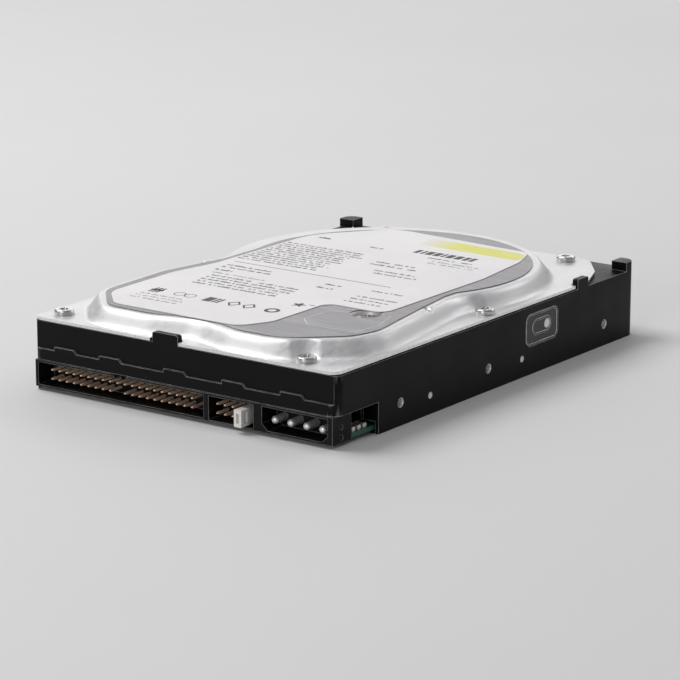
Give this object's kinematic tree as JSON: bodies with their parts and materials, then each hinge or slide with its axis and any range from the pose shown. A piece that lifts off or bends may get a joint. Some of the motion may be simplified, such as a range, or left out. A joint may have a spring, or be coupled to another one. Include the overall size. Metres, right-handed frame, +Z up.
{
  "type": "hard disk drive",
  "caption": "Desktop hard disk drive with black cast base, stamped bright cover, grey damper plate and label, full-width connector block, spinning disks, swinging actuator and pull-off jumper.",
  "frame": {"origin": "centre of the drive's bounding box on the plane of its underside", "axes": "+Z up through the cover, +Y from the connector face to the rear, +X towards the side with the power socket"},
  "size_m": [0.1016, 0.1494, 0.0254],
  "materials": {
    "black_casting": "satin black electrocoat",
    "machined_aluminium": "machined",
    "cover_steel": "bright satin nickel plate",
    "damper_grey": "fine brushed, warm grey",
    "label_film": "satin printed film",
    "gasket_rubber": "matt",
    "screw_steel": "zinc plated",
    "foil": "satin foil",
    "filter_white": "felt",
    "board_green": "solder mask",
    "foam_black": "foam sheet",
    "connector_black": "moulded, fine grain",
    "pin_gold": "gold flash over brass",
    "pin_tin": "bright tin plate",
    "chip_black": "moulded epoxy",
    "capacitor_tan": "ceramic",
    "resistor_black": "glazed ceramic",
    "copper": "enamelled copper",
    "magnet_nickel": "nickel plated",
    "platter_mirror": "mirror polished",
    "polyimide": "amber film",
    "shunt_white": "moulded nylon",
    "stop_rubber": "elastomer"
  },
  "bodies": {
    "root": {"base_casting": "black_casting", "cover_gasket": "gasket_rubber", "top_cover": "cover_steel", "damper_plate": "damper_grey", "product_label": "label_film", "cover_screws": "screw_steel", "pivot_cover_screw": "screw_steel", "port_seal": "foil", "breather_filter": "filter_white", "recirculation_filter": "filter_white", "circuit_board": "board_green", "board_insulator": "foam_black", "board_screws": "screw_steel", "connector_housing": "connector_black", "ide_pins": "pin_gold", "jumper_pins": "pin_gold", "power_pins": "pin_tin", "controller_chip": "chip_black", "motor_driver_chip": "chip_black", "cache_chip": "chip_black", "crystal": "screw_steel", "smd_capacitors": "capacitor_tan", "smd_resistors": "resistor_black", "power_inductors": "chip_black", "motor_connector": "connector_black", "head_connector": "connector_black", "motor_flange": "machined_aluminium", "motor_screws": "screw_steel", "bearing_sleeve": "copper", "stator_core": "screw_steel", "stator_windings": "copper", "lower_yoke": "magnet_nickel", "lower_magnet": "magnet_nickel", "upper_magnet": "magnet_nickel", "upper_yoke": "magnet_nickel", "yoke_posts": "screw_steel", "yoke_screws": "screw_steel", "crash_stops": "stop_rubber", "latch_magnet": "magnet_nickel", "pivot_shaft": "screw_steel", "flex_bracket": "machined_aluminium", "flex_bracket_screws": "screw_steel", "flex_cable": "polyimide"},
    "rotor": {"spindle_shaft": "screw_steel", "spindle_hub": "machined_aluminium", "rotor_magnet": "magnet_nickel", "platters": "platter_mirror", "platter_spacer": "machined_aluminium", "disk_clamp": "machined_aluminium", "clamp_screws": "screw_steel"},
    "actuator": {"actuator_carriage": "machined_aluminium", "pivot_sleeve": "screw_steel", "coil_frame": "connector_black", "voice_coil": "copper", "suspensions": "screw_steel", "sliders": "chip_black", "preamp_flex": "polyimide"},
    "jumper": {"jumper_shunt": "shunt_white", "jumper_clip": "pin_tin"}
  },
  "joints": [
    {"name": "spindle_spin", "type": "hinge", "parent": "root", "child": "rotor", "pos_m": [0, 0.02025, 0.01], "axis": [0, 0, 1], "continuous": true},
    {"name": "actuator_swing", "type": "hinge", "parent": "root", "child": "actuator", "pos_m": [0.032, -0.03275, 0.01], "axis": [0, 0, -1], "range_deg": [0, 29]},
    {"name": "jumper_pull", "type": "slide", "parent": "root", "child": "jumper", "axis": [0, -1, 0], "range_m": [0, 0.01]}
  ]
}
